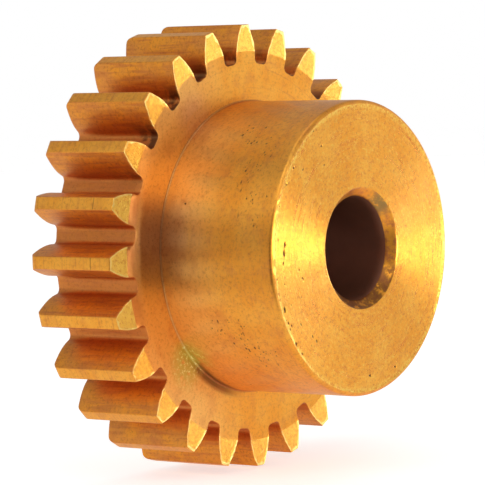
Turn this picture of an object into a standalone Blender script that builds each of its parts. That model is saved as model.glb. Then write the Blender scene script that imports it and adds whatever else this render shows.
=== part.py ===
"""A brass spur gear with a plain hub on one side, turned, bored and hobbed from one piece of bar.

Metres, +Z up. The gear's spin axis is Y. The origin lies on that axis, halfway through the toothed rim, and the hub
points towards -Y. One tooth is centred on +Z.

The solid is made the way the real one is: a blank is turned, then the tooth spaces are cut out of its rim.
"""

import bmesh
import bpy
import math

MM = 0.001

# Driving dimensions
MODULE = 1.0 * MM
TEETH = 24
PRESSURE_ANGLE = math.radians(20)
FACE_WIDTH = 6.0 * MM
HUB_DIAMETER = 17.0 * MM
HUB_LENGTH = 8.0 * MM
BORE_DIAMETER = 6.0 * MM

# Edge details
ROOT_FILLET = 0.3 * MODULE
TIP_BACK_ROUND = 0.5 * MM
HUB_FILLET = 0.25 * MM
HUB_END_BREAK = 0.2 * MM
BORE_MOUTH_CHAMFER = 0.5 * MM
BORE_BACK_CHAMFER = 0.25 * MM

# Worked out from the above
PITCH_RADIUS = MODULE * TEETH / 2
TIP_RADIUS = PITCH_RADIUS + MODULE
ROOT_RADIUS = PITCH_RADIUS - 1.25 * MODULE
BASE_RADIUS = PITCH_RADIUS * math.cos(PRESSURE_ANGLE)
HUB_RADIUS = HUB_DIAMETER / 2
BORE_RADIUS = BORE_DIAMETER / 2
RIM_FRONT = -FACE_WIDTH / 2
RIM_BACK = FACE_WIDTH / 2
HUB_END = RIM_FRONT - HUB_LENGTH
SPACE_ANGLE = math.tau / TEETH

# How finely the curved shapes are divided, and how far a cutter stands past the blank
TURNED_STEPS = 96
ARC_STEPS = 4
FLANK_STEPS = 5
CUTTER_OVERRUN = 1.0 * MM
CUTTER_FLARE = 0.25 * MM
WELD_DISTANCE = 0.001 * MM
SHARP_ANGLE = math.radians(30)

BRASS_COLOUR = (0.72, 0.38, 0.11, 1.0)
BRASS_ROUGHNESS = 0.35


def remove_all_objects():
    for item in list(bpy.data.objects):
        bpy.data.objects.remove(item, do_unlink=True)


def new_collection(name):
    collection = bpy.data.collections.new(name)
    bpy.context.scene.collection.children.link(collection)
    return collection


def brass_material():
    material = bpy.data.materials.new("brass")
    material.use_nodes = True
    shader = material.node_tree.nodes["Principled BSDF"]
    shader.inputs["Base Color"].default_value = BRASS_COLOUR
    shader.inputs["Metallic"].default_value = 1.0
    shader.inputs["Roughness"].default_value = BRASS_ROUGHNESS
    return material


def arc(centre, radius, start_degrees, end_degrees):
    """Evenly spaced points on an arc, its two ends included."""
    points = []
    for step in range(ARC_STEPS + 1):
        share = step / ARC_STEPS
        angle = math.radians(start_degrees + (end_degrees - start_degrees) * share)
        points.append((centre[0] + radius * math.cos(angle), centre[1] + radius * math.sin(angle)))
    return points


def blank_section():
    """The turned blank's half section as (distance from the axis, place along it).

    It starts at the bore's back edge and goes out over the back face, down the outside to the hub's end, and back
    along the bore.
    """
    tip_round_centre = (TIP_RADIUS - TIP_BACK_ROUND, RIM_BACK - TIP_BACK_ROUND)
    hub_fillet_centre = (HUB_RADIUS + HUB_FILLET, RIM_FRONT - HUB_FILLET)
    section = [(BORE_RADIUS + BORE_BACK_CHAMFER, RIM_BACK)]
    section += arc(tip_round_centre, TIP_BACK_ROUND, 90, 0)
    section += [(TIP_RADIUS, RIM_FRONT)]
    section += arc(hub_fillet_centre, HUB_FILLET, 90, 180)
    section += [
        (HUB_RADIUS, HUB_END + HUB_END_BREAK),
        (HUB_RADIUS - HUB_END_BREAK, HUB_END),
        (BORE_RADIUS + BORE_MOUTH_CHAMFER, HUB_END),
        (BORE_RADIUS, HUB_END + BORE_MOUTH_CHAMFER),
        (BORE_RADIUS, RIM_BACK - BORE_BACK_CHAMFER),
    ]
    return section


def turned_blank(name):
    """The blank, turned about its own Z and then laid along Y with its hub towards -Y."""
    section = blank_section()
    corners = [(distance, 0.0, along) for distance, along in section]
    edges = [(i, (i + 1) % len(corners)) for i in range(len(corners))]
    mesh = bpy.data.meshes.new(name)
    mesh.from_pydata(corners, edges, [])
    blank = bpy.data.objects.new(name, mesh)
    blank.rotation_euler.x = -math.pi / 2
    turning = blank.modifiers.new("turning", "SCREW")
    turning.angle = math.tau
    turning.steps = TURNED_STEPS
    turning.render_steps = TURNED_STEPS
    turning.use_merge_vertices = True
    turning.merge_threshold = WELD_DISTANCE
    return blank


def involute(angle):
    return math.tan(angle) - angle


def half_space_angle(radius):
    """Half the angle that a tooth space spans at this radius, between two involute flanks."""
    flank_angle = math.acos(BASE_RADIUS / radius)
    half_tooth = math.pi / (2 * TEETH) + involute(PRESSURE_ANGLE) - involute(flank_angle)
    return SPACE_ANGLE / 2 - half_tooth


def space_side():
    """One side of the tooth space that is centred on +Z, from its floor to outside the blank."""
    half_floor = ROOT_RADIUS * half_space_angle(BASE_RADIUS)
    fillet_centre = (half_floor - ROOT_FILLET, ROOT_RADIUS + ROOT_FILLET)
    side = arc(fillet_centre, ROOT_FILLET, -90, 0)
    for step in range(FLANK_STEPS + 1):
        radius = BASE_RADIUS + (TIP_RADIUS - BASE_RADIUS) * step / FLANK_STEPS
        angle = half_space_angle(radius)
        side.append((radius * math.sin(angle), radius * math.cos(angle)))
    lip_across, lip_out = side[-1]
    side.append((lip_across + CUTTER_FLARE, lip_out + CUTTER_OVERRUN))
    return side


def space_outline():
    side = space_side()
    other_side = [(-across, out) for across, out in reversed(side)]
    return side + other_side


def tooth_spaces():
    """All the tooth spaces as one mesh of separate bars that run past the rim at both ends."""
    curve = bpy.data.curves.new("tooth_spaces", "CURVE")
    curve.dimensions = "2D"
    curve.fill_mode = "BOTH"
    curve.extrude = FACE_WIDTH / 2 + CUTTER_OVERRUN
    outline = space_outline()
    for space in range(TEETH):
        turn = (space + 0.5) * SPACE_ANGLE
        spline = curve.splines.new("POLY")
        spline.points.add(len(outline) - 1)
        for point, (across, out) in zip(spline.points, outline):
            x = across * math.cos(turn) + out * math.sin(turn)
            y = out * math.cos(turn) - across * math.sin(turn)
            point.co = (x, y, 0.0, 1.0)
        spline.use_cyclic_u = True
    drawn = bpy.data.objects.new("tooth_spaces", curve)
    drawn.rotation_euler.x = math.pi / 2
    return as_mesh_object(drawn)


def as_mesh_object(drawn):
    """Turn a curve object into a welded mesh object in the same place."""
    bpy.context.scene.collection.objects.link(drawn)
    bpy.context.view_layer.update()
    evaluated = drawn.evaluated_get(bpy.context.evaluated_depsgraph_get())
    mesh = bpy.data.meshes.new_from_object(evaluated)
    shape = bmesh.new()
    shape.from_mesh(mesh)
    bmesh.ops.remove_doubles(shape, verts=shape.verts, dist=WELD_DISTANCE)
    shape.to_mesh(mesh)
    shape.free()
    solid = bpy.data.objects.new(drawn.name + "_solid", mesh)
    solid.matrix_world = drawn.matrix_world.copy()
    bpy.data.objects.remove(drawn, do_unlink=True)
    return solid


def cut(target, cutter):
    """Subtract the cutter, and show it only as a guide."""
    cutter.hide_render = True
    cutter.display_type = "WIRE"
    difference = target.modifiers.new("cut_" + cutter.name, "BOOLEAN")
    difference.operation = "DIFFERENCE"
    difference.solver = "EXACT"
    difference.object = cutter


def bake_and_shade(target):
    """Replace the object's mesh by its finished shape, smooth apart from its real edges."""
    bpy.context.view_layer.update()
    evaluated = target.evaluated_get(bpy.context.evaluated_depsgraph_get())
    mesh = bpy.data.meshes.new_from_object(evaluated)
    mesh.name = target.name
    target.modifiers.clear()
    target.data = mesh
    mesh.shade_smooth()
    mesh.set_sharp_from_angle(angle=SHARP_ANGLE)


def main():
    remove_all_objects()
    parts = new_collection("spur_gear_with_hub")
    cutters = new_collection("cutters")

    gear = turned_blank("spur_gear")
    gear.data.materials.append(brass_material())
    parts.objects.link(gear)

    spaces = tooth_spaces()
    cutters.objects.link(spaces)
    cut(gear, spaces)
    bake_and_shade(gear)


main()
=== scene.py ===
"""Looks for a one-piece brass spur gear with a hub: fine surfaces, brass finishes, pale studio and camera."""

import math
from random import Random

import bmesh
import bpy
import numpy as np
from mathutils import Euler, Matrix, Vector, kdtree, noise


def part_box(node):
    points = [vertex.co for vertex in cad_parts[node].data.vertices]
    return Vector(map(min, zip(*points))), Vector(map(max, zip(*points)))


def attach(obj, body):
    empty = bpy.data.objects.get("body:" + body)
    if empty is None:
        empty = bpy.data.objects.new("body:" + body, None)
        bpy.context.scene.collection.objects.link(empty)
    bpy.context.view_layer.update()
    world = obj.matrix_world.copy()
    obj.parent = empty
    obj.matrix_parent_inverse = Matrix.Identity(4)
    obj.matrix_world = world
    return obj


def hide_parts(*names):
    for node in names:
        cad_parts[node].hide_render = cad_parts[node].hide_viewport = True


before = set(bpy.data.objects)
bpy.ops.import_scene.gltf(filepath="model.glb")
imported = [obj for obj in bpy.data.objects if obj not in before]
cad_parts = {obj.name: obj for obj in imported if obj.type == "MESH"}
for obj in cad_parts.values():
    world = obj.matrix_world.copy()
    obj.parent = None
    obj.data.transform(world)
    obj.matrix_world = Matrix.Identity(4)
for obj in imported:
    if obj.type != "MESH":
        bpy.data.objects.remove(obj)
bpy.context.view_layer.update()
GEAR_LOW, GEAR_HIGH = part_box("spur_gear")

# --------------------------------------------------------------------------------------------------
# Sizes, in metres. The frame gives the tip radius and the two ends; the rest follows from the module.
# --------------------------------------------------------------------------------------------------
TEETH = 24
PRESSURE_ANGLE = math.radians(20)
TIP_RADIUS = GEAR_HIGH.z
RIM_BACK = GEAR_HIGH.y
RIM_FRONT = -RIM_BACK
HUB_END = GEAR_LOW.y

MODULE = TIP_RADIUS / (TEETH / 2 + 1)
# The module is one millimetre
MM = MODULE
PITCH_RADIUS = MODULE * TEETH / 2
ROOT_RADIUS = PITCH_RADIUS - 1.25 * MODULE
BASE_RADIUS = PITCH_RADIUS * math.cos(PRESSURE_ANGLE)
HUB_RADIUS = 8.5 * MM
BORE_RADIUS = 3.0 * MM
SPACE_ANGLE = math.tau / TEETH

ROOT_FILLET = 0.3 * MM
TIP_CORNER = 0.05 * MM
TIP_BACK_ROUND = 0.5 * MM
FRONT_EDGE_ROUND = 0.035 * MM
BACK_EDGE_ROUND = 0.2 * MM
HUB_FILLET = 0.1 * MM
HUB_END_BREAK = 0.2 * MM
BORE_MOUTH_CHAMFER = 0.5 * MM
BORE_BACK_CHAMFER = 0.25 * MM

# The rim's front face was turned smooth with the hub as far out as this; the ring outside it was left coarse
TURNED_ZONE = 11.4 * MM
ZONE_STEP = 0.003 * MM
ZONE_EDGE = 0.03 * MM

# Small relief: raised burrs along cut edges, the coarse ring's grain, and the slow wander of turned surfaces
BURR_HEIGHT = 0.06 * MM
BURR_WIDTH = 0.14 * MM
BURR_PATCH = 0.25 * MM
GRAIN_HEIGHT = 0.012 * MM
GRAIN_PATCH = 0.16 * MM
RAGGED_PIT = 0.8
PIT_PATCH = 0.07 * MM
RING_HEIGHT = 0.003 * MM
RING_PITCH = 0.3 * MM
BURR_MEAN = 0.5
BURR_RAGGED = 0.8
BURR_LEAST = 0.1
BURR_ROOT_GAP = 0.2 * MM
BURR_FULL_HEIGHT_FROM = 0.8 * MM
HUB_BURR_MEAN = 0.45
HUB_BURR_RAGGED = 0.9
HUB_BURR_LEAST = 0.15
HUB_BURR_BUMPS = 22

# The turned end of the hub: how far in its broken edge reaches and how far round it turns, in degrees
END_BREAK_REACH = 1.1 * HUB_END_BREAK
END_BREAK_SWEEP = -75
# The first full circle of the rim's faces lies this far inside the tooth roots
ROOT_TO_CIRCLE = 0.25 * MM
# The middle point of a tooth's rounded tip corner: this share of it in from the tip, and in from the flank
CORNER_MIDDLE = 0.3

# How finely each stretch is divided
ACROSS_TOOTH = 12
FLOOR_STEPS = 2
FLANK_STEPS = 9
FILLET_STEPS = 6
FRONT_EDGE_ROWS = 4
RIM_BODY_ROWS = 9
BACK_EDGE_ROWS = 8
RIM_FACE_ROWS = 18
HUB_FILLET_ROWS = 6
HUB_ROWS = 64
END_BREAK_ROWS = 5
HUB_FACE_ROWS = 52
MOUTH_CHAMFER_ROWS = 6
BORE_ROWS = 18
BACK_CHAMFER_ROWS = 3
BACK_FACE_ROWS = 16
WELD_DISTANCE = 1e-7

# Finishes, in the order of the mesh's material slots
FLANK, TIP_LAND, TOOTH_END, RIM_FACE, HUB_FACE, TURNED_HUB, CHAMFER, BORE = range(8)


def smooth_step(low, high, value):
    share = min(1.0, max(0.0, (value - low) / (high - low)))
    return share * share * (3 - 2 * share)


# --------------------------------------------------------------------------------------------------
# Tooth shape. Angles are measured from the middle of a tooth space; a tooth's middle is half a pitch on.
# --------------------------------------------------------------------------------------------------
def involute(angle):
    return math.tan(angle) - angle


def half_space_angle(radius):
    flank_angle = math.acos(min(1.0, BASE_RADIUS / radius))
    half_tooth = math.pi / (2 * TEETH) + involute(PRESSURE_ANGLE) - involute(flank_angle)
    return SPACE_ANGLE / 2 - half_tooth


def floor_and_fillet(amount):
    """(radius, angle) from the middle of the floor, along it and up the root fillet, moved into the metal."""
    centre_across = ROOT_RADIUS * half_space_angle(BASE_RADIUS) - ROOT_FILLET
    centre_out = ROOT_RADIUS + ROOT_FILLET
    reach = ROOT_FILLET + amount
    points = [(centre_across * step / FLOOR_STEPS, centre_out - reach) for step in range(FLOOR_STEPS)]
    for step in range(FILLET_STEPS + 1):
        turn = math.pi / 2 * step / FILLET_STEPS
        points.append((centre_across + reach * math.sin(turn), centre_out - reach * math.cos(turn)))
    return [(math.hypot(across, out), math.atan2(across, out)) for across, out in points]


def flank_and_corner(tip_radius, amount):
    """(radius, angle) up the flank and over the small rounded corner to the start of the tip land.

    An involute that is moved square to itself is the same involute, turned about the axis.
    """
    turned = amount / BASE_RADIUS
    top = tip_radius - TIP_CORNER
    radii = [BASE_RADIUS, TURNED_ZONE - ZONE_EDGE, TURNED_ZONE + ZONE_EDGE]
    radii += [radii[-1] + (top - radii[-1]) * step / FLANK_STEPS for step in range(1, FLANK_STEPS + 1)]
    points = [(radius, half_space_angle(radius) + turned) for radius in radii]
    slip = TIP_CORNER / tip_radius
    points.append((tip_radius - CORNER_MIDDLE * TIP_CORNER, points[-1][1] + CORNER_MIDDLE * slip))
    points.append((tip_radius, points[-1][1] + (1 - CORNER_MIDDLE) * slip))
    return points


def half_outline(tip_radius, amount):
    """(radius, angle) from the middle of the floor to the middle of the next tooth's tip land.

    The outline is drawn in towards the metal by the given amount, the tip included.
    """
    tip_radius = tip_radius - amount
    points = floor_and_fillet(amount) + flank_and_corner(tip_radius, amount)
    start = points[-1][1]
    half_land = ACROSS_TOOTH // 2
    for step in range(1, half_land + 1):
        points.append((tip_radius, start + (SPACE_ANGLE / 2 - start) * step / half_land))
    return points


def tip_radius_at(along):
    """The turned blank's radius, which falls away round the back corner."""
    past = (along - (RIM_BACK - TIP_BACK_ROUND)) / TIP_BACK_ROUND
    if past <= 0:
        return TIP_RADIUS
    return TIP_RADIUS - TIP_BACK_ROUND * (1 - math.sqrt(max(0.0, 1 - past * past)))


def edge_inset_at(along):
    """How far the outline is drawn in by the rounding of its front and back edges."""
    front = (RIM_FRONT + FRONT_EDGE_ROUND - along) / FRONT_EDGE_ROUND
    back = (along - RIM_BACK + BACK_EDGE_ROUND) / BACK_EDGE_ROUND
    past = min(1.0, max(front, back, 0.0))
    size = FRONT_EDGE_ROUND if front > back else BACK_EDGE_ROUND
    return size * (1 - math.sqrt(1 - past * past))


def rim_stations():
    """Places along the axis where the rim's outline is drawn, close together round the two ends."""
    front_turns = np.linspace(0, math.pi / 2, FRONT_EDGE_ROWS)
    front = [RIM_FRONT + FRONT_EDGE_ROUND * (1 - math.cos(turn)) for turn in front_turns]
    body_end = RIM_BACK - TIP_BACK_ROUND
    body = list(np.linspace(front[-1], body_end, RIM_BODY_ROWS))[1:]
    back_turns = np.linspace(0, math.pi / 2, BACK_EDGE_ROWS)
    back = [body_end + TIP_BACK_ROUND * math.sin(turn) for turn in back_turns]
    return front + body + back[1:]


def outline_at(along):
    return half_outline(tip_radius_at(along), edge_inset_at(along))


# --------------------------------------------------------------------------------------------------
# Small relief
# --------------------------------------------------------------------------------------------------
def wander(place, patch):
    """Smooth noise from -1 to 1 whose bumps are about as wide as the patch."""
    return noise.noise(place / patch)


def burr(place, radius):
    """How far the ragged burr on a tooth's front edge stands forward. It dies out towards the root."""
    ragged = BURR_MEAN + BURR_RAGGED * wander(place, BURR_PATCH)
    full_from = ROOT_RADIUS + BURR_FULL_HEIGHT_FROM
    clear_of_root = smooth_step(ROOT_RADIUS + BURR_ROOT_GAP, full_from, radius)
    return BURR_HEIGHT * max(BURR_LEAST, ragged) * clear_of_root


def front_relief(radius, angle, edge_distance):
    """How far the rim's front surface stands behind RIM_FRONT, this far in from a tooth's edge."""
    place = Vector((radius * math.sin(angle), 0.0, radius * math.cos(angle)))
    outer = smooth_step(TURNED_ZONE - ZONE_EDGE, TURNED_ZONE + ZONE_EDGE, radius)
    near_edge = 1 - smooth_step(0, BURR_WIDTH, edge_distance)
    grain = GRAIN_HEIGHT * (wander(place, GRAIN_PATCH) + 0.5 * wander(place, 2.5 * GRAIN_PATCH))
    return ZONE_STEP * (1 - outer) + grain * outer * (1 - near_edge) - burr(place, radius) * near_edge


def turned_relief(distance, along, angle):
    """Height of the tool's rings and of the slow wander on a turned surface."""
    path = distance - along
    fine_rings = noise.noise(Vector((path / RING_PITCH, 0.3, 0.7)))
    broad_rings = noise.noise(Vector((path / MM, 5.1, 0.2)))
    slow = noise.noise(Vector((2 * math.sin(angle), path / (2 * MM), 2 * math.cos(angle))))
    return RING_HEIGHT * (fine_rings + 0.5 * broad_rings + slow)


def hub_end_burr(angle):
    """How far the ragged burr round the hub's end stands forward."""
    place = Vector((HUB_BURR_BUMPS * math.sin(angle), 3.3, HUB_BURR_BUMPS * math.cos(angle)))
    ragged = HUB_BURR_MEAN + HUB_BURR_RAGGED * noise.noise(place)
    return BURR_HEIGHT * min(1.0, max(HUB_BURR_LEAST, ragged))


# Pits in the turned surfaces. Lengths are in millimetres and angles in degrees, from +Z towards +X.
# Large ones on the hub's end face: (distance from the axis, angle, length, width)
LARGE_FACE_PITS = (
    (7.25, -84, 0.34, 0.15), (7.3, -88, 0.42, 0.2), (7.4, -92, 0.16, 0.12), (7.95, -111, 0.42, 0.16),
    (8.0, -117, 0.24, 0.12), (7.85, -119, 0.16, 0.12), (8.1, -127, 0.34, 0.15), (7.0, -30, 0.18, 0.14),
    (6.7, -137, 0.17, 0.15), (7.4, 177, 0.22, 0.16), (7.7, 158, 0.2, 0.14), (7.5, -101, 0.12, 0.08),
)
LARGE_FACE_PIT_DEPTH = 0.05
# Large ones on the hub's side: (place along the axis, angle, length, width)
LARGE_HUB_PITS = (
    (-4.5, -69, 0.14, 0.12), (-6.6, -37, 0.2, 0.18), (-6.4, -119, 0.14, 0.12), (-7.9, -117, 0.16, 0.14),
)
LARGE_HUB_PIT_DEPTH = 0.04
# Drifts of small ones on the hub's side: (place along the axis, angle, spread in degrees, how many)
HUB_PIT_DRIFTS = (
    (-8.7, -56, 7, 14), (-9.3, -70, 12, 16), (-6.6, -118, 6, 10), (-7.6, -124, 10, 24), (-8.6, -130, 9, 22),
    (-7.0, -36, 8, 14), (-8.6, -45, 8, 10), (-7.6, 60, 60, 30), (-6.0, 170, 40, 20),
)
DRIFT_SPREAD_ALONG = 1.1
DRIFT_END = -10.5
# Small ones on the end face lie in a sector near its edge
SMALL_FACE_PITS = 26
FACE_PIT_OUTERMOST = 8.1
FACE_PIT_BAND = 2.4
FACE_PIT_SECTOR = (-135, 110)
# A small pit is this much longer round the axis than across, and this deep for its size
PIT_STRETCH = 1.6
HUB_PIT_STRETCH = 1.7
SMALL_PIT_DEPTH = 0.3
# How far outside a pit the faces are divided, and into how many more rows
PIT_MARGIN = 0.1 * MM
PIT_CUTS = 2
PIT_SEED = 5


class Pit:
    """A small hole in a turned surface, drawn out round the axis."""

    def __init__(self, distance, along, angle, length, width, depth):
        turn = math.radians(angle)
        on_end_face = distance < HUB_RADIUS / MM - 0.01
        radial = Vector((math.sin(turn), 0.0, math.cos(turn)))
        self.centre = (radial * distance + Vector((0.0, along, 0.0))) * MM
        self.around = Vector((math.cos(turn), 0.0, -math.sin(turn)))
        self.outwards = Vector((0.0, -1.0, 0.0)) if on_end_face else radial
        self.across = self.around.cross(self.outwards)
        self.length = length * MM
        self.width = width * MM
        self.depth = depth * MM

    def reach(self):
        return max(self.length, self.width)

    def share(self, place):
        """1 at the pit's middle, 0 on its rim and outside it."""
        away = place - self.centre
        around = 2 * away.dot(self.around) / self.length
        across = 2 * away.dot(self.across) / self.width
        spread = around ** 2 + across ** 2
        return max(0.0, 1 - spread * (1 + RAGGED_PIT * wander(place, PIT_PATCH)))


def face_pits(random):
    """Pits in the hub's end face: the large ones, then a scatter of small ones, mostly near its edge."""
    face = (HUB_END + BURR_HEIGHT) / MM
    pits = []
    for distance, angle, length, width in LARGE_FACE_PITS:
        pits.append(Pit(distance, face, angle, length, width, LARGE_FACE_PIT_DEPTH))
    first_angle, sweep = FACE_PIT_SECTOR
    for _ in range(SMALL_FACE_PITS):
        distance = FACE_PIT_OUTERMOST - FACE_PIT_BAND * random.random() ** 2
        size = 0.06 + 0.06 * random.random() ** 2
        angle = first_angle + sweep * random.random()
        pits.append(Pit(distance, face, angle, PIT_STRETCH * size, size, SMALL_PIT_DEPTH * size))
    return pits


def hub_pits(random):
    """Pits in the hub's side, in drifts towards its end."""
    side = HUB_RADIUS / MM
    pits = []
    for along, angle, length, width in LARGE_HUB_PITS:
        pits.append(Pit(side, along, angle, length, width, LARGE_HUB_PIT_DEPTH))
    for along, angle, spread, count in HUB_PIT_DRIFTS:
        for _ in range(count):
            size = 0.05 + 0.08 * random.random() ** 3
            turn = angle + spread * (random.random() + random.random() - 1)
            place = along + DRIFT_SPREAD_ALONG * (random.random() + random.random() - 1)
            place = max(DRIFT_END, place)
            pits.append(Pit(side, place, turn, HUB_PIT_STRETCH * size, size, SMALL_PIT_DEPTH * size))
    return pits


def sink_pits(shape, pits):
    """Divide the faces round each pit, then press the pits in. Each point keeps how deep in a pit it lies."""
    by_place = kdtree.KDTree(len(pits))
    for index, pit in enumerate(pits):
        by_place.insert(pit.centre, index)
    by_place.balance()
    widest = max(pit.reach() for pit in pits)
    edges = set()
    for face in shape.faces:
        middle = face.calc_center_median()
        near = by_place.find_range(middle, widest / 2 + PIT_MARGIN)
        if any(away < pits[index].reach() / 2 + PIT_MARGIN for _, index, away in near):
            edges.update(face.edges)
    bmesh.ops.subdivide_edges(shape, edges=list(edges), cuts=PIT_CUTS, use_grid_fill=True)
    depth_layer = shape.verts.layers.float.new("pit")
    for vert in shape.verts:
        place = vert.co.copy()
        for _, index, _ in by_place.find_range(place, widest / 2):
            pit = pits[index]
            share = pit.share(place)
            if share > 0:
                vert.co -= pit.outwards * pit.depth * share
                vert[depth_layer] = max(vert[depth_layer], min(1.0, 2 * share))


# --------------------------------------------------------------------------------------------------
# Turned section. Each row is (distance from the axis, place along it, finish of the stretch before it,
# share of the burr's height)
# --------------------------------------------------------------------------------------------------
class Section:
    def __init__(self, distance, along):
        self.rows = []
        self.end = (distance, along)

    def line(self, distance, along, steps, finish):
        start = self.end
        for step in range(1, steps + 1):
            share = step / steps
            place = [start[i] + ((distance, along)[i] - start[i]) * share for i in range(2)]
            self.rows.append((place[0], place[1], finish, 0.0))
        self.end = (distance, along)

    def arc(self, centre, radius, start, end, steps, finish):
        """Angles in degrees, from +distance towards +along."""
        for step in range(1, steps + 1):
            turn = math.radians(start + (end - start) * step / steps)
            place = (centre[0] + radius * math.cos(turn), centre[1] + radius * math.sin(turn))
            self.rows.append((place[0], place[1], finish, 0.0))
        self.end = self.rows[-1][:2]

    def burr_here(self, share):
        distance, along, finish, _ = self.rows[-1]
        self.rows[-1] = (distance, along, finish, share)


def turned_section(first_distance):
    """From just inside the tooth roots on the front, over the hub, through the bore and over the back."""
    rim_face = RIM_FRONT + ZONE_STEP
    hub_face = HUB_END + BURR_HEIGHT
    burr_crest = HUB_RADIUS - END_BREAK_REACH
    section = Section(first_distance, rim_face)
    section.line(HUB_RADIUS + HUB_FILLET, rim_face, RIM_FACE_ROWS, RIM_FACE)
    fillet_centre = (HUB_RADIUS + HUB_FILLET, rim_face - HUB_FILLET)
    section.arc(fillet_centre, HUB_FILLET, 90, 180, HUB_FILLET_ROWS, TURNED_HUB)
    section.line(HUB_RADIUS, hub_face + HUB_END_BREAK, HUB_ROWS, TURNED_HUB)
    break_centre = (HUB_RADIUS - HUB_END_BREAK, hub_face + HUB_END_BREAK)
    section.arc(break_centre, HUB_END_BREAK, 0, END_BREAK_SWEEP, END_BREAK_ROWS, TURNED_HUB)
    section.line(burr_crest, hub_face, 1, TURNED_HUB)
    section.burr_here(1.0)
    section.line(burr_crest - 0.3 * BURR_WIDTH, hub_face, 1, HUB_FACE)
    section.burr_here(0.7)
    section.line(burr_crest - BURR_WIDTH, hub_face, 1, HUB_FACE)
    section.line(BORE_RADIUS + BORE_MOUTH_CHAMFER, hub_face, HUB_FACE_ROWS, HUB_FACE)
    section.line(BORE_RADIUS, hub_face + BORE_MOUTH_CHAMFER, MOUTH_CHAMFER_ROWS, CHAMFER)
    section.line(BORE_RADIUS, RIM_BACK - BORE_BACK_CHAMFER, BORE_ROWS, BORE)
    section.line(BORE_RADIUS + BORE_BACK_CHAMFER, RIM_BACK, BACK_CHAMFER_ROWS, CHAMFER)
    section.line(first_distance, RIM_BACK, BACK_FACE_ROWS, RIM_FACE)
    return section.rows


# --------------------------------------------------------------------------------------------------
# Mesh
# --------------------------------------------------------------------------------------------------
def on_gear(radius, angle, along):
    """A point from its distance off the axis, its angle from +Z towards +X, and its place along the axis."""
    return Vector((radius * math.sin(angle), along, radius * math.cos(angle)))


class GearMesh:
    """Collects grids of points, welds where they meet, and gives each face its finish."""

    def __init__(self):
        self.shape = bmesh.new()

    def grid(self, rows, finish_of):
        """rows is a list of equally long lists of points; finish_of(row, column) names each face's finish."""
        made = [[self.shape.verts.new(point) for point in row] for row in rows]
        for i in range(len(made) - 1):
            for j in range(len(made[i]) - 1):
                corners = [made[i][j], made[i][j + 1], made[i + 1][j + 1], made[i + 1][j]]
                face = self.shape.faces.new(corners)
                face.material_index = finish_of(i, j)
                face.smooth = True

    def weld(self):
        bmesh.ops.remove_doubles(self.shape, verts=self.shape.verts, dist=WELD_DISTANCE)
        bmesh.ops.recalc_face_normals(self.shape, faces=self.shape.faces)

    def finish(self, name):
        mesh = bpy.data.meshes.new(name)
        self.shape.to_mesh(mesh)
        self.shape.free()
        return mesh


def full_outline(half):
    """A half outline, mirrored and repeated all round, as (radius, angle)."""
    both = [(radius, -angle) for radius, angle in reversed(half)][:-1] + half
    loop = []
    for space in range(TEETH):
        middle = (space + 0.5) * SPACE_ANGLE
        loop += [(radius, middle + angle) for radius, angle in both][:-1]
    return loop + [loop[0]]


def add_rim_sides(gear):
    half = half_outline(TIP_RADIUS, 0.0)
    corner = len(half) - 1 - ACROSS_TOOTH // 2
    per_space = 2 * (len(half) - 1)
    rows = []
    for station, along in enumerate(rim_stations()):
        share = max(0.0, 1 - station / (FRONT_EDGE_ROWS - 1))
        row = []
        for radius, angle in full_outline(outline_at(along)):
            lift = share * front_relief(radius, angle, 0.0) if share else 0.0
            row.append(on_gear(radius, angle, along + lift))
        rows.append(row)

    def finish_of(_, column):
        from_middle = abs((column % per_space) + 0.5 - per_space / 2)
        return TIP_LAND if from_middle > corner else FLANK

    gear.grid(rows, finish_of)


def even_shares():
    return [2 * step / ACROSS_TOOTH - 1 for step in range(ACROSS_TOOTH + 1)]


def across_shares():
    """Where a tooth end's columns lie, from -1 on one flank to 1 on the other, closer at the edges."""
    return [math.sin(math.pi / 2 * share) for share in even_shares()]


def add_tooth_ends(gear, along, relief):
    """The end of each tooth, as rungs between its two flanks. Returns the loop that the rungs end on."""
    half = outline_at(along)
    first_rung = FLOOR_STEPS
    last_rung = len(half) - 1 - ACROSS_TOOTH // 2
    tip = half[-1][0]
    base_loop = []
    for tooth in range(TEETH):
        middle = tooth * SPACE_ANGLE
        rows = []
        for index in range(first_rung, last_rung + 1):
            radius, angle = half[index]
            half_width = SPACE_ANGLE / 2 - angle
            shares = even_shares() if index == last_rung else across_shares()
            row = []
            for share in shares:
                turn = middle + half_width * share
                edge_distance = min((1 - abs(share)) * half_width * radius, tip - radius)
                row.append(on_gear(radius, turn, along + relief(radius, turn, edge_distance)))
            rows.append(row)
            if index == first_rung:
                base_loop += [(radius, middle + half_width * share) for share in shares]
        for index in reversed(range(1, first_rung)):
            base_loop.append((half[index][0], middle + SPACE_ANGLE / 2 - half[index][1]))
        for index in range(first_rung):
            base_loop.append((half[index][0], middle + SPACE_ANGLE / 2 + half[index][1]))
        inner_rungs = sum(half[index][0] < TURNED_ZONE for index in range(first_rung, last_rung + 1))
        gear.grid(rows, lambda i, j: RIM_FACE if i < inner_rungs else TOOTH_END)
    return base_loop


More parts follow.
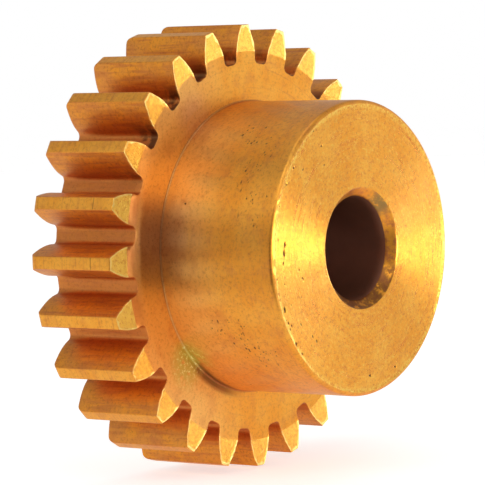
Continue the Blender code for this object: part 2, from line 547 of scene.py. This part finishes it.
def add_turned_surfaces(gear, front_loop, back_loop):
    first_distance = ROOT_RADIUS - ROOT_TO_CIRCLE
    front_loop = front_loop + front_loop[:1]
    back_loop = back_loop + back_loop[:1]
    angles = [angle for _, angle in front_loop]
    rim_face = RIM_FRONT + ZONE_STEP
    rows = [[on_gear(radius, angle, rim_face) for radius, angle in front_loop]]
    rows.append([on_gear(first_distance, angle, rim_face) for angle in angles])
    section = turned_section(first_distance)
    distances = [row[0] for row in section]
    alongs = [row[1] for row in section]
    for index, (distance, along, _, burr_share) in enumerate(section):
        before = max(index - 1, 0)
        after = min(index + 1, len(section) - 1)
        outwards = Vector((alongs[before] - alongs[after], distances[after] - distances[before]))
        outwards.normalize()
        last = index == len(section) - 1
        row = []
        for angle in angles:
            lift = 0.0 if last else turned_relief(distance, along, angle)
            forward = burr_share * hub_end_burr(angle) if burr_share else 0.0
            row.append(on_gear(distance + lift * outwards[0], angle, along + lift * outwards[1] - forward))
        rows.append(row)
    rows.append([on_gear(radius, angle, RIM_BACK) for radius, angle in back_loop])
    finishes = [RIM_FACE] + [row[2] for row in section] + [RIM_FACE]
    gear.grid(rows, lambda i, j: finishes[i])


def build_gear():
    gear = GearMesh()
    add_rim_sides(gear)
    front_loop = add_tooth_ends(gear, RIM_FRONT, front_relief)
    back_loop = add_tooth_ends(gear, RIM_BACK, lambda radius, angle, edge_distance: 0.0)
    add_turned_surfaces(gear, front_loop, back_loop)
    gear.weld()
    random = Random(PIT_SEED)
    sink_pits(gear.shape, face_pits(random) + hub_pits(random))
    mesh = gear.finish("gear_surface")
    piece = bpy.data.objects.new("gear_surface", mesh)
    bpy.context.scene.collection.objects.link(piece)
    weighted = piece.modifiers.new("weighted", "WEIGHTED_NORMAL")
    weighted.keep_sharp = True
    return piece


# --------------------------------------------------------------------------------------------------
# Brass finishes
# --------------------------------------------------------------------------------------------------
BRASS = (0.95, 0.38, 0.035)
BRASS_PALE = (0.99, 0.45, 0.055)
BRASS_BROWN = (0.64, 0.20, 0.05)
# Painted light: paler brass for the left side of the corner between hub and rim
BRASS_PAINTED_LIGHT = (0.98, 0.52, 0.14)
BRASS_DULL = (0.80, 0.31, 0.055)
# Tarnish for the blotches; also painted shade on the fillet at the hub's foot, and the darkening near the
# tooth roots on the left
TARNISH_AND_SHADE = (0.45, 0.12, 0.025)
# Painted dark reflection: a dull pink-brown for patches at the corner between hub and rim
DULL_REFLECTION = (0.74, 0.34, 0.21)
TORN_DARK = (0.78, 0.35, 0.04)
TORN = (0.97, 0.53, 0.07)
# Bright torn metal; on the left tooth ends it is also a painted highlight
TORN_BRIGHT_AND_LIT = (1.0, 0.66, 0.12)
BURR_BRIGHT = (1.0, 0.76, 0.24)
# Dark grime for pits and scratches; also painted shade in the hub-rim crease and at the tooth roots, and the
# darker bottom of the bore's chamfers
GRIME_AND_SHADE = (0.12, 0.045, 0.015)
GREEN_YELLOW = (0.68, 0.55, 0.11)
# Painted glint: near-white flecks in the green-yellow patch
PAINTED_GLINT_YELLOW = (1.0, 0.95, 0.42)
OLIVE = (0.32, 0.20, 0.06)

BORE_DARK = (0.22, 0.09, 0.05)
BORE_BROWN = (0.34, 0.13, 0.07)

# The finishes work in millimetres. Along the axis the rim runs from 3 to -3 and the hub from there to -11.
# The radius is 3 at the bore, 8.5 at the hub, 10.75 at the tooth roots and 13 at the tips.

# Handled brass: some of it scatters like paint, and a thin film of oil and oxide lies over it
FILM_ROUGHNESS = 0.45
# A quarter turn lays the stretched highlights across the tool's rings
HIGHLIGHT_TURN = 0.25

# Marks of age and handling, and patches of painted light and shade, each a ball of this centre and reach in
# millimetres, some with their strength
# Patches of painted dark reflection at the corner between hub and rim
DULL_REFLECTION_PATCHES = (((-9.3, -3.4, 1.4), 3.3, 0.5), ((-5.0, -3.0, 7.8), 2.0, 0.4))
# Painted shade along the lower crease between hub and rim
CREASE_SHADE = ((-4.6, -3.0, -7.5), 3.8)
GREEN_YELLOW_PATCH = ((-6.5, -3.0, -6.3), 1.9)
# Darkening of the rim's face near the tooth roots on the left
LEFT_ROOT_DARKENING = ((-11.2, -3.0, 0.5), 5.5)
COARSEST_LIT_ENDS = ((-12.2, -3.0, 0.3), 6.5)
TIP_SCRATCH = ((-13.0, -1.6, 1.5), 4.0)
TIP_SCRATCH_ALONG = 1.62
OLIVE_STAIN = ((2.2, -10.7, 2.5), 1.3)


class Finish:
    """A brass material under construction, with short names for the nodes that it needs.

    The constant roughness stands wherever no texture drives it.
    """

    def __init__(self, name, roughness, anisotropy, metallic, film):
        self.material = bpy.data.materials.new(name)
        self.material.use_nodes = True
        self.nodes = self.material.node_tree.nodes
        self.links = self.material.node_tree.links
        self.shader = self.nodes["Principled BSDF"]
        self.shader.inputs["Metallic"].default_value = metallic
        self.shader.inputs["Coat Weight"].default_value = film
        self.shader.inputs["Coat Roughness"].default_value = FILM_ROUGHNESS
        self.shader.inputs["Roughness"].default_value = roughness
        self.shader.inputs["Anisotropic"].default_value = anisotropy
        self.shader.inputs["Anisotropic Rotation"].default_value = HIGHLIGHT_TURN
        tangent = self.nodes.new("ShaderNodeTangent")
        tangent.direction_type = "RADIAL"
        tangent.axis = "Y"
        self.links.new(tangent.outputs["Tangent"], self.shader.inputs["Tangent"])
        position = self.nodes.new("ShaderNodeTexCoord").outputs["Object"]
        self.place = self.vector("SCALE", position, scale=1 / MM)
        self.x, self.y, self.z = self.split(self.place)
        flat = self.vector("MULTIPLY", self.place, (1, 0, 1))
        self.radius = self.vector("LENGTH", flat)
        self.around = self.vector("NORMALIZE", flat)
        self.path = self.math("SUBTRACT", self.radius, self.y)

    def feed(self, socket, value):
        if isinstance(value, bpy.types.NodeSocket):
            self.links.new(value, socket)
        else:
            socket.default_value = value

    def math(self, operation, first, second=0.0):
        node = self.nodes.new("ShaderNodeMath")
        node.operation = operation
        self.feed(node.inputs[0], first)
        self.feed(node.inputs[1], second)
        return node.outputs[0]

    def vector(self, operation, first, second=(0, 0, 0), scale=1.0):
        node = self.nodes.new("ShaderNodeVectorMath")
        node.operation = operation
        self.feed(node.inputs[0], first)
        if operation == "SCALE":
            node.inputs["Scale"].default_value = scale
        else:
            self.feed(node.inputs[1], second)
        return node.outputs["Value" if operation == "LENGTH" else "Vector"]

    def split(self, vector):
        node = self.nodes.new("ShaderNodeSeparateXYZ")
        self.links.new(vector, node.inputs[0])
        return node.outputs

    def step(self, low, high, value):
        """0 below low, 1 above high, smooth between; high may be the smaller."""
        node = self.nodes.new("ShaderNodeMapRange")
        node.interpolation_type = "SMOOTHSTEP"
        self.feed(node.inputs["Value"], value)
        node.inputs["From Min"].default_value = low
        node.inputs["From Max"].default_value = high
        return node.outputs["Result"]

    def noise(self, place, scale=1.0, detail=3.0, roughness=0.55):
        node = self.nodes.new("ShaderNodeTexNoise")
        self.feed(node.inputs["Vector"], place)
        node.inputs["Scale"].default_value = scale
        node.inputs["Detail"].default_value = detail
        node.inputs["Roughness"].default_value = roughness
        return node.outputs[0]

    def specks(self, place, scale, size):
        """Round dots of the given size (in cells) at the cells' scattered centres."""
        node = self.nodes.new("ShaderNodeTexVoronoi")
        self.feed(node.inputs["Vector"], place)
        node.inputs["Scale"].default_value = scale
        chance = self.split(node.outputs["Color"])[0]
        limit = self.math("MULTIPLY", self.step(0.55, 1.0, chance), size)
        return self.step(0.0, 0.35 * size, self.math("SUBTRACT", limit, node.outputs["Distance"]))

    def lines(self, around, across):
        """A place for textures drawn out round the axis: bumps per radian and per millimetre across."""
        spread = self.vector("SCALE", self.around, scale=around)
        node = self.nodes.new("ShaderNodeCombineXYZ")
        self.links.new(self.math("MULTIPLY", self.path, across), node.inputs["Y"])
        return self.vector("ADD", spread, node.outputs[0])

    def mix(self, share, first, second):
        node = self.nodes.new("ShaderNodeMix")
        node.data_type = "RGBA"
        self.feed(node.inputs[0], share)
        for socket, colour in ((node.inputs[6], first), (node.inputs[7], second)):
            self.feed(socket, colour if isinstance(colour, bpy.types.NodeSocket) else (*colour, 1.0))
        return node.outputs[2]

    def spot(self, centre, size, soft_from=0.2):
        """1 at the centre, fading to 0 at the given distance in millimetres."""
        away = self.vector("LENGTH", self.vector("SUBTRACT", self.place, centre))
        return self.step(size, soft_from * size, away)

    def colour(self, value):
        self.links.new(value, self.shader.inputs["Base Color"])

    def roughness(self, value):
        self.links.new(value, self.shader.inputs["Roughness"])

    def bumps(self, *layers):
        """Layers of (height from 0 to 1, depth in millimetres)."""
        below = None
        for height, depth in layers:
            node = self.nodes.new("ShaderNodeBump")
            node.inputs["Distance"].default_value = depth * MM
            self.links.new(height, node.inputs["Height"])
            if below:
                self.links.new(below, node.inputs["Normal"])
            below = node.outputs["Normal"]
        self.links.new(below, self.shader.inputs["Normal"])


def pitted(finish, colour):
    """Grime in the pits that are pressed into the mesh."""
    pit = finish.nodes.new("ShaderNodeAttribute")
    pit.attribute_name = "pit"
    return finish.mix(pit.outputs["Fac"], colour, GRIME_AND_SHADE)


def shade(finish, colour, share, depth, towards):
    """Blend a colour in by a share from 0 to 1, at most as far as depth."""
    return finish.mix(finish.math("MULTIPLY", share, depth), colour, towards)


def mottled(finish, colour, share):
    """Tarnish in fine blotches and small dots, as bare brass gets from handling."""
    fine = finish.noise(finish.place, scale=5.0, detail=5.0, roughness=0.75)
    broad = finish.noise(finish.place, scale=1.1, detail=5.0, roughness=0.6)
    dots = finish.specks(finish.place, scale=3.4, size=0.15)
    dots = finish.math("MULTIPLY", dots, finish.step(0.5, 0.62, broad))
    colour = shade(finish, colour, finish.step(0.52, 0.34, fine), share, TARNISH_AND_SHADE)
    colour = shade(finish, colour, finish.step(0.5, 0.35, broad), 0.7 * share, BRASS_BROWN)
    return shade(finish, colour, dots, share, BRASS_BROWN)


def corner_painted_light_and_shade(finish, colour):
    """The corner between hub and rim: painted light on the left, dull patches of painted dark reflection, and
    painted shade in the crease.
    """
    # Painted light: the left side of the corner is made paler
    left = finish.math("MULTIPLY", finish.step(-1.0, -6.5, finish.x), finish.step(-8.0, -4.0, finish.y))
    colour = shade(finish, colour, left, 0.85, BRASS_PAINTED_LIGHT)
    soft = finish.noise(finish.lines(around=2.0, across=1.5), detail=3.0)
    # Dull patches of painted dark reflection
    for centre, reach, depth in DULL_REFLECTION_PATCHES:
        patch = finish.math("MULTIPLY", finish.spot(centre, reach, 0.1), finish.step(0.2, 0.5, soft))
        colour = shade(finish, colour, patch, depth, DULL_REFLECTION)
    # Painted shade: the crease where hub meets rim is darkened, low on the left
    close_to_hub = finish.step(9.15, 8.75, finish.radius)
    close_to_rim = finish.step(-3.5, -3.1, finish.y)
    crease = finish.math("MULTIPLY", close_to_hub, close_to_rim)
    crease = finish.math("MULTIPLY", crease, finish.spot(*CREASE_SHADE, 0.3))
    return shade(finish, colour, crease, 0.75, GRIME_AND_SHADE)


def corner_rings(finish):
    """Deeper tool rings close to the corner between hub and rim."""
    rings = finish.noise(finish.lines(around=0.6, across=2.4), detail=3.0)
    near = finish.math("MULTIPLY", finish.step(9.9, 9.0, finish.radius), finish.step(-5.0, -3.8, finish.y))
    near = finish.math("MULTIPLY", near, finish.step(-1.0, -2.5, finish.y))
    return finish.math("MULTIPLY", finish.math("SUBTRACT", rings, 0.5), near)


def hub_face_finish():
    """The faced end of the hub: coarse rings, a speckle of torn metal, pits and warm clouds."""
    finish = Finish("brass_hub_face", roughness=0.3, anisotropy=0.93, metallic=0.96, film=0.03)
    clouds = finish.noise(finish.place, scale=0.45, detail=4.0)
    arcs = finish.noise(finish.lines(around=2.5, across=3.5), detail=5.0, roughness=0.7)
    fine = finish.noise(finish.lines(around=7.0, across=18.0), detail=2.0)
    speckle = finish.noise(finish.place, scale=7.0, detail=3.0, roughness=0.7)
    colour = finish.mix(finish.step(0.38, 0.66, clouds), BRASS, BRASS_PALE)
    colour = shade(finish, colour, finish.step(0.5, 0.3, arcs), 0.35, BRASS_BROWN)
    colour = shade(finish, colour, finish.step(0.5, 0.68, fine), 0.3, TORN_BRIGHT_AND_LIT)
    colour = shade(finish, colour, finish.step(0.48, 0.3, speckle), 0.7, BRASS_BROWN)
    colour = shade(finish, colour, finish.step(0.56, 0.68, speckle), 0.7, TORN_BRIGHT_AND_LIT)
    colour = mottled(finish, colour, 0.2)
    edge = finish.math("MULTIPLY", finish.step(7.9, 8.2, finish.radius), finish.step(0.4, 0.6, speckle))
    colour = shade(finish, colour, edge, 0.8, TORN_BRIGHT_AND_LIT)
    finish.colour(pitted(finish, colour))
    finish.roughness(finish.math("ADD", 0.21, finish.math("MULTIPLY", arcs, 0.16)))
    finish.bumps((arcs, 0.008), (fine, 0.004), (speckle, 0.012))
    return finish.material


def rim_face_finish():
    """The smooth turned ring between the hub and the teeth."""
    finish = Finish("brass_rim_face", roughness=0.27, anisotropy=0.8, metallic=0.93, film=0.06)
    clouds = finish.noise(finish.place, scale=0.6, detail=4.0)
    arcs = finish.noise(finish.lines(around=3.0, across=6.0), detail=4.0)
    fine = finish.noise(finish.lines(around=9.0, across=20.0), detail=2.0)
    colour = finish.mix(finish.step(0.38, 0.66, clouds), BRASS, BRASS_PALE)
    colour = shade(finish, colour, finish.step(0.46, 0.28, arcs), 0.4, BRASS_BROWN)
    colour = mottled(finish, corner_painted_light_and_shade(finish, colour), 0.4)
    # Darker near the tooth roots on the left
    root = finish.math("MULTIPLY", finish.step(10.2, 11.0, finish.radius), finish.spot(*LEFT_ROOT_DARKENING, 0.5))
    colour = shade(finish, colour, root, 0.6, TARNISH_AND_SHADE)
    finish.colour(green_patch_and_glints(finish, colour))
    finish.roughness(finish.math("ADD", 0.24, finish.math("MULTIPLY", arcs, 0.18)))
    finish.bumps((arcs, 0.004), (fine, 0.002), (corner_rings(finish), 0.03))
    return finish.material


def green_patch_and_glints(finish, colour):
    """A green-yellow patch low on the left, in the corner between the hub and the rim's face, with painted
    glints in it.
    """
    patchy = finish.step(0.3, 0.5, finish.noise(finish.place, scale=1.6, detail=4.0))
    bloom = finish.math("MULTIPLY", finish.spot(*GREEN_YELLOW_PATCH), patchy)
    sparkle = finish.noise(finish.place, scale=5.0, detail=4.0, roughness=0.7)
    # Painted glints: bright flecks within the patch
    bright = finish.step(0.52, 0.62, sparkle)
    colour = shade(finish, colour, bloom, 0.85, GREEN_YELLOW)
    return shade(finish, colour, finish.math("MULTIPLY", bloom, bright), 0.9, PAINTED_GLINT_YELLOW)


def turned_hub_finish():
    """The hub's side: fine rings all round, drifts of pits, and painted light and shade in the corner against
    the rim.
    """
    finish = Finish("brass_turned_hub", roughness=0.36, anisotropy=0.75, metallic=0.93, film=0.2)
    clouds = finish.noise(finish.place, scale=0.5, detail=4.0)
    arcs = finish.noise(finish.lines(around=3.0, across=7.0), detail=5.0, roughness=0.65)
    fine = finish.noise(finish.lines(around=10.0, across=22.0), detail=2.0)
    speckle = finish.noise(finish.place, scale=4.5, detail=5.0, roughness=0.7)
    colour = finish.mix(finish.step(0.38, 0.66, clouds), BRASS, BRASS_PALE)
    colour = shade(finish, colour, finish.step(0.46, 0.25, arcs), 0.5, BRASS_BROWN)
    colour = shade(finish, colour, finish.step(0.5, 0.3, speckle), 0.45, BRASS_BROWN)
    colour = corner_painted_light_and_shade(finish, colour)
    # Painted shade: the fillet at the foot of the hub is darkened
    fillet = finish.step(-3.13, -3.05, finish.y)
    colour = mottled(finish, shade(finish, colour, fillet, 0.5, TARNISH_AND_SHADE), 0.4)
    finish.colour(pitted(finish, green_patch_and_glints(finish, colour)))
    finish.roughness(finish.math("ADD", 0.28, finish.math("MULTIPLY", arcs, 0.2)))
    finish.bumps((arcs, 0.006), (fine, 0.003), (corner_rings(finish), 0.03))
    return finish.material


def tooth_end_finish():
    """Coarse torn grain outside the smooth ring, with a bright burr along each tooth's edge. On the left the
    grain is coarser, and its bright grains are partly a painted highlight.
    """
    finish = Finish("brass_tooth_end", roughness=0.45, anisotropy=0.0, metallic=0.8, film=0.0)
    grain = finish.noise(finish.place, scale=4.6, detail=5.0, roughness=0.8)
    coarsest = finish.spot(*COARSEST_LIT_ENDS, 0.5)
    colour = finish.mix(finish.step(0.4, 0.6, grain), TORN_DARK, TORN)
    # Grain mixed with painted highlight: the bright grains on the left tooth ends
    torn = finish.math("MULTIPLY", finish.step(0.38, 0.5, grain), coarsest)
    hollows = finish.math("MULTIPLY", finish.step(0.46, 0.3, grain), coarsest)
    colour = shade(finish, colour, hollows, 0.5, TORN_DARK)
    colour = green_patch_and_glints(finish, shade(finish, colour, torn, 0.9, TORN_BRIGHT_AND_LIT))
    finish.colour(finish.mix(finish.step(-3.004, -3.015, finish.y), colour, BURR_BRIGHT))
    finish.roughness(finish.math("ADD", 0.26, finish.math("MULTIPLY", grain, 0.2)))
    finish.bumps((finish.math("MULTIPLY", grain, finish.math("ADD", 0.4, coarsest)), 0.1))
    return finish.material


def flank_finish():
    """Hobbed flanks and floors: dull, streaked along the tooth, with painted shade towards the root, and dirt
    with painted shade at the front of the upper teeth's roots.
    """
    finish = Finish("brass_flank", roughness=0.42, anisotropy=0.0, metallic=0.9, film=0.1)
    streak_place = finish.vector("MULTIPLY", finish.place, (5.0, 0.5, 5.0))
    streaks = finish.noise(streak_place, scale=1.0, detail=4.0)
    clouds = finish.noise(finish.place, scale=0.7, detail=4.0)
    root = finish.step(12.1, 10.8, finish.radius)
    front = finish.step(-0.5, -2.8, finish.y)
    colour = finish.mix(finish.step(0.3, 0.7, clouds), BRASS_DULL, BRASS)
    # Painted shade: browner towards the tooth roots
    colour = shade(finish, colour, root, 0.7, BRASS_BROWN)
    colour = shade(finish, colour, finish.step(0.55, 0.35, streaks), 0.6, BRASS_BROWN)
    patches = finish.noise(finish.place, scale=0.9, detail=5.0, roughness=0.6)
    patches = finish.math("MULTIPLY", finish.step(0.38, 0.52, patches), finish.step(3.5, 6.0, finish.z))
    # Dirt and painted shade at the front of the roots on the upper teeth
    grime = finish.math("MULTIPLY", finish.math("MULTIPLY", front, root), patches)
    colour = mottled(finish, colour, 0.5)
    finish.colour(shade(finish, colour, grime, 0.9, GRIME_AND_SHADE))
    finish.roughness(finish.math("ADD", 0.32, finish.math("MULTIPLY", clouds, 0.2)))
    finish.bumps((streaks, 0.02))
    return finish.material


def tip_land_finish():
    """The blank's turned outside, left on the tops of the teeth, with a hairline scratch on the left."""
    finish = Finish("brass_tip_land", roughness=0.38, anisotropy=0.5, metallic=0.85, film=0.03)
    arcs = finish.noise(finish.lines(around=3.0, across=5.0), detail=4.0)
    clouds = finish.noise(finish.place, scale=0.7, detail=4.0)
    off_line = finish.math("ABSOLUTE", finish.math("ADD", finish.y, TIP_SCRATCH_ALONG))
    scratch = finish.math("MULTIPLY", finish.step(0.05, 0.02, off_line), finish.spot(*TIP_SCRATCH))
    colour = finish.mix(finish.step(0.25, 0.6, clouds), BRASS, BRASS_PALE)
    colour = shade(finish, colour, finish.step(0.5, 0.3, arcs), 0.4, BRASS_BROWN)
    finish.colour(shade(finish, mottled(finish, colour, 0.4), scratch, 0.6, GRIME_AND_SHADE))
    finish.roughness(finish.math("ADD", 0.3, finish.math("MULTIPLY", clouds, 0.16)))
    finish.bumps((arcs, 0.006))
    return finish.material


def chamfer_finish():
    """The bore's chamfers, with brown dirt, darker towards the bottom, and an olive stain on one side."""
    finish = Finish("brass_chamfer", roughness=0.35, anisotropy=0.6, metallic=0.9, film=0.1)
    dirt = finish.noise(finish.place, scale=2.2, detail=4.0, roughness=0.7)
    colour = finish.mix(finish.step(0.4, 0.65, dirt), BRASS, BRASS_BROWN)
    # Darker towards the bottom, broken up by the dirt noise
    darker_below = finish.math("MULTIPLY", finish.step(-0.8, -1.6, finish.z), finish.step(0.3, 0.5, dirt))
    colour = shade(finish, colour, darker_below, 0.7, GRIME_AND_SHADE)
    olive = finish.math("MULTIPLY", finish.spot(*OLIVE_STAIN), finish.step(0.3, 0.5, dirt))
    finish.colour(shade(finish, colour, olive, 0.9, OLIVE))
    finish.bumps((dirt, 0.02))
    return finish.material


def bore_finish():
    """The inside of the bore, dark brown with clouds."""
    finish = Finish("brass_bore", roughness=0.5, anisotropy=0.3, metallic=0.85, film=0.5)
    clouds = finish.noise(finish.place, scale=0.8, detail=4.0)
    finish.colour(finish.mix(clouds, BORE_DARK, BORE_BROWN))
    return finish.material


# --------------------------------------------------------------------------------------------------
# Studio
# --------------------------------------------------------------------------------------------------
CAMERA_PLACE = Vector((-154.0, -123.8, 14.4)) * MM
CAMERA_TURN = Euler([math.radians(angle) for angle in (85.88, 2.10, -51.89)])
CAMERA_LENS = 247.9
CAMERA_SHIFT = (-0.0023, -0.0033)
SENSOR_WIDTH = 36.0
CLIP_START = 0.01

FLOOR_RADIUS = 0.6
FLOOR_GAP = 0.0002
FLOOR_FADE = (0.12, 0.5)
FLOOR_COLOUR = (0.82, 0.82, 0.81, 1)
FLOOR_ROUGHNESS = 0.6
FLOOR_GLOW = 0.35
FLOOR_GLOW_SEEN = 0.6

HORIZON_LIGHT = 0.6
ZENITH_LIGHT = 0.35
WHITE = (1, 1, 1, 1)

# A dark mat and screen. Distances in metres from the gear, its sector in degrees from -Y towards -X
FLAG_NEAR = 0.034
FLAG_FAR = 0.11
FLAG_TOP = 0.056
FLAG_GAP = 0.0001
FLAG_SECTOR = (-15, 95)
FLAG_STEPS = 24
FLAG_COLOUR = (0.15, 0.14, 0.14, 1)
FLAG_ROUGHNESS = 0.9

# Area lamps: direction from the gear, width and height in metres, and brightness as seen, where 1 is white
LAMP_DISTANCE = 0.5
LAMPS = {
    "key": ((-0.44, -0.64, 0.63), 0.28, 0.28, 1.6),
    "left_lamp": ((-0.80, 0.20, 0.55), 0.25, 0.25, 1.0),
    "top_lamp": ((0.0, 0.0, 1.0), 0.3, 0.3, 0.9),
    "right_fill": ((0.78, -0.62, 0.03), 0.3, 0.2, 0.35),
    "front_lamp": ((0.27, -0.96, -0.03), 0.08, 0.05, 120.0),
    "side_lamp": ((0.97, -0.24, -0.02), 0.1, 0.05, 10.0),
}


def add_camera():
    data = bpy.data.cameras.new("camera")
    data.lens = CAMERA_LENS
    data.sensor_width = SENSOR_WIDTH
    data.shift_x, data.shift_y = CAMERA_SHIFT
    data.clip_start = CLIP_START
    camera = bpy.data.objects.new("camera", data)
    camera.location = CAMERA_PLACE
    camera.rotation_euler = CAMERA_TURN
    bpy.context.scene.collection.objects.link(camera)
    bpy.context.scene.camera = camera


def add_floor():
    """A pale floor that fades into the backdrop's colour, so that no horizon shows."""
    under_gear = (0, 0, -TIP_RADIUS - FLOOR_GAP)
    bpy.ops.mesh.primitive_circle_add(vertices=96, radius=FLOOR_RADIUS, fill_type="NGON", location=under_gear)
    floor = bpy.context.active_object
    floor.name = "floor"
    material = bpy.data.materials.new("floor")
    material.use_nodes = True
    nodes = material.node_tree.nodes
    links = material.node_tree.links
    shader = nodes["Principled BSDF"]
    shader.inputs["Base Color"].default_value = FLOOR_COLOUR
    shader.inputs["Roughness"].default_value = FLOOR_ROUGHNESS
    shader.inputs["Emission Color"].default_value = WHITE
    glow = nodes.new("ShaderNodeMapRange")
    glow.inputs["To Min"].default_value = FLOOR_GLOW
    glow.inputs["To Max"].default_value = FLOOR_GLOW_SEEN
    links.new(nodes.new("ShaderNodeLightPath").outputs["Is Camera Ray"], glow.inputs["Value"])
    links.new(glow.outputs["Result"], shader.inputs["Emission Strength"])
    away = nodes.new("ShaderNodeVectorMath")
    away.operation = "LENGTH"
    links.new(nodes.new("ShaderNodeTexCoord").outputs["Object"], away.inputs[0])
    fade = nodes.new("ShaderNodeMapRange")
    fade.interpolation_type = "SMOOTHSTEP"
    fade.inputs["From Min"].default_value, fade.inputs["From Max"].default_value = FLOOR_FADE
    links.new(away.outputs["Value"], fade.inputs["Value"])
    clear = nodes.new("ShaderNodeBsdfTransparent")
    blend = nodes.new("ShaderNodeMixShader")
    links.new(fade.outputs["Result"], blend.inputs["Fac"])
    links.new(shader.outputs["BSDF"], blend.inputs[1])
    links.new(clear.outputs["BSDF"], blend.inputs[2])
    links.new(blend.outputs["Shader"], nodes["Material Output"].inputs["Surface"])
    floor.data.materials.append(material)


def add_world():
    """Soft light from all round, brightest at the horizon. The camera itself sees plain white."""
    world = bpy.data.worlds.new("studio")
    world.use_nodes = True
    nodes = world.node_tree.nodes
    links = world.node_tree.links
    soft = nodes["Background"]
    soft.inputs["Color"].default_value = WHITE
    direction = nodes.new("ShaderNodeSeparateXYZ")
    links.new(nodes.new("ShaderNodeTexCoord").outputs["Generated"], direction.inputs[0])
    height = nodes.new("ShaderNodeMapRange")
    height.inputs["To Min"].default_value = HORIZON_LIGHT
    height.inputs["To Max"].default_value = ZENITH_LIGHT
    links.new(direction.outputs["Z"], height.inputs["Value"])
    links.new(height.outputs["Result"], soft.inputs["Strength"])
    plain = nodes.new("ShaderNodeBackground")
    plain.inputs["Color"].default_value = WHITE
    choose = nodes.new("ShaderNodeMixShader")
    links.new(nodes.new("ShaderNodeLightPath").outputs["Is Camera Ray"], choose.inputs["Fac"])
    links.new(soft.outputs["Background"], choose.inputs[1])
    links.new(plain.outputs["Background"], choose.inputs[2])
    links.new(choose.outputs["Shader"], nodes["World Output"].inputs["Surface"])
    bpy.context.scene.world = world


def add_dark_flag():
    """The dark part of a room: a mat and a screen round the camera's side, which only reflections see."""
    bottom = -TIP_RADIUS + FLAG_GAP
    profile = [(FLAG_NEAR, bottom), (FLAG_FAR, bottom), (FLAG_FAR, FLAG_TOP)]
    turns = [math.radians(angle) for angle in np.linspace(*FLAG_SECTOR, FLAG_STEPS)]
    mesh = bpy.data.meshes.new("dark_flag")
    corners = []
    for turn in turns:
        corners += [(-far * math.sin(turn), -far * math.cos(turn), high) for far, high in profile]
    faces = []
    for i in range(len(turns) - 1):
        for j in range(len(profile) - 1):
            first = i * len(profile) + j
            faces.append((first, first + 1, first + 1 + len(profile), first + len(profile)))
    mesh.from_pydata(corners, [], faces)
    flag = bpy.data.objects.new("dark_flag", mesh)
    flag.visible_camera = False
    flag.visible_diffuse = False
    flag.visible_shadow = False
    material = bpy.data.materials.new("dark_flag")
    material.use_nodes = True
    shader = material.node_tree.nodes["Principled BSDF"]
    shader.inputs["Base Color"].default_value = FLAG_COLOUR
    shader.inputs["Roughness"].default_value = FLAG_ROUGHNESS
    mesh.materials.append(material)
    bpy.context.scene.collection.objects.link(flag)


def add_softbox(name, direction, width, height, strength):
    """An area light that faces the gear."""
    data = bpy.data.lights.new(name, "AREA")
    data.shape = "RECTANGLE"
    data.size = width
    data.size_y = height
    data.energy = strength * math.pi * width * height
    light = bpy.data.objects.new(name, data)
    place = Vector(direction).normalized() * LAMP_DISTANCE
    light.location = place
    light.rotation_euler = place.to_track_quat("Z", "Y").to_euler()
    light.visible_camera = False
    bpy.context.scene.collection.objects.link(light)


bpy.context.scene.view_settings.view_transform = "Standard"
gear_surface = build_gear()
for finish_function in (flank_finish, tip_land_finish, tooth_end_finish, rim_face_finish, hub_face_finish,
                        turned_hub_finish, chamfer_finish, bore_finish):
    gear_surface.data.materials.append(finish_function())
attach(gear_surface, "root")
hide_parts("spur_gear")
add_camera()
add_floor()
add_world()
add_dark_flag()
for lamp_name, (direction, width, height, strength) in LAMPS.items():
    add_softbox(lamp_name, direction, width, height, strength)
